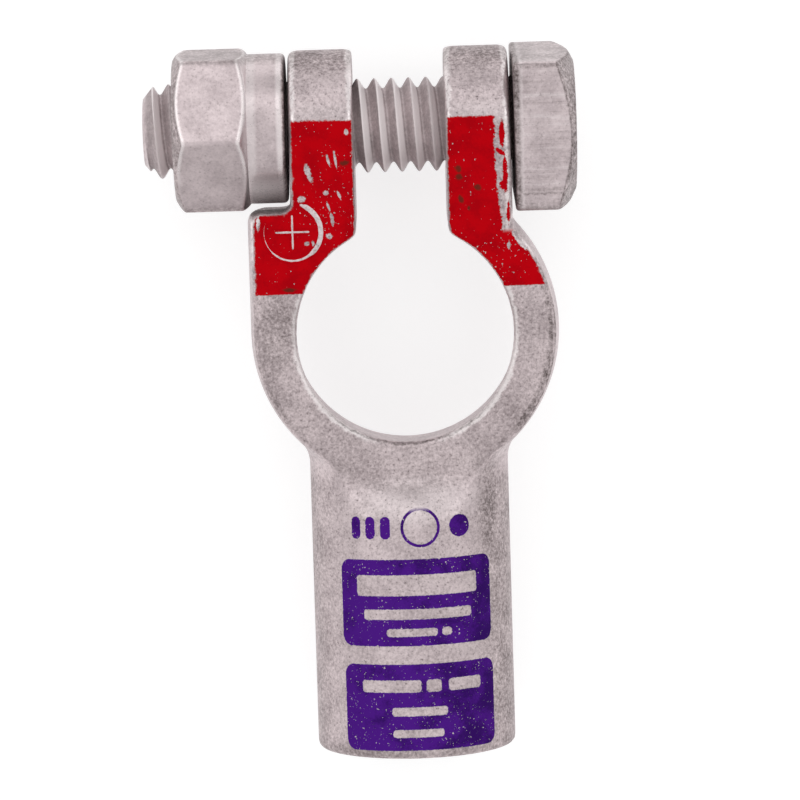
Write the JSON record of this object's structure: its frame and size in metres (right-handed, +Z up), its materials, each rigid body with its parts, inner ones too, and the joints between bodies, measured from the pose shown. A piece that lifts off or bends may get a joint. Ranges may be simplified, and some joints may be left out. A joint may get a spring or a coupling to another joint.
{
  "type": "battery terminal clamp",
  "caption": "Split-ring clamp for a tapered battery post, with a crimp barrel for the cable, drawn shut by a square-head bolt and a collar nut.",
  "frame": {"origin": "on the axis of the battery post, halfway up the ring", "axes": "+Z up the post, +Y from the post to the ears, -Y out of the cable barrel, +X along the bolt to its head"},
  "size_m": [0.0354, 0.0582, 0.0164],
  "materials": {
    "tinned_casting": "tin plate over a cast copper alloy, satin and speckled, with red polarity paint on the upper face and purple printed fields on the barrel",
    "plated_bolt": "satin tin plate",
    "plated_nut": "satin tin plate"
  },
  "bodies": {
    "clamp": {"clamp_body": "tinned_casting"},
    "bolt": {"clamp_bolt": "plated_bolt"},
    "nut": {"shoulder_nut": "plated_nut"}
  },
  "joints": [
    {"name": "nut_turn", "type": "hinge", "parent": "clamp", "child": "nut", "pos_m": [-0.01385, 0.0168, 0], "axis": [1, 0, 0], "range_deg": [-2980, 51]},
    {"name": "bolt_draw", "type": "slide", "parent": "clamp", "child": "bolt", "axis": [1, 0, 0], "range_m": [-0.0002, 0.0117]}
  ],
  "couplings": [
    {"joint": "bolt_draw", "follows": "nut_turn", "m_per_rad": -0.00022459}
  ]
}
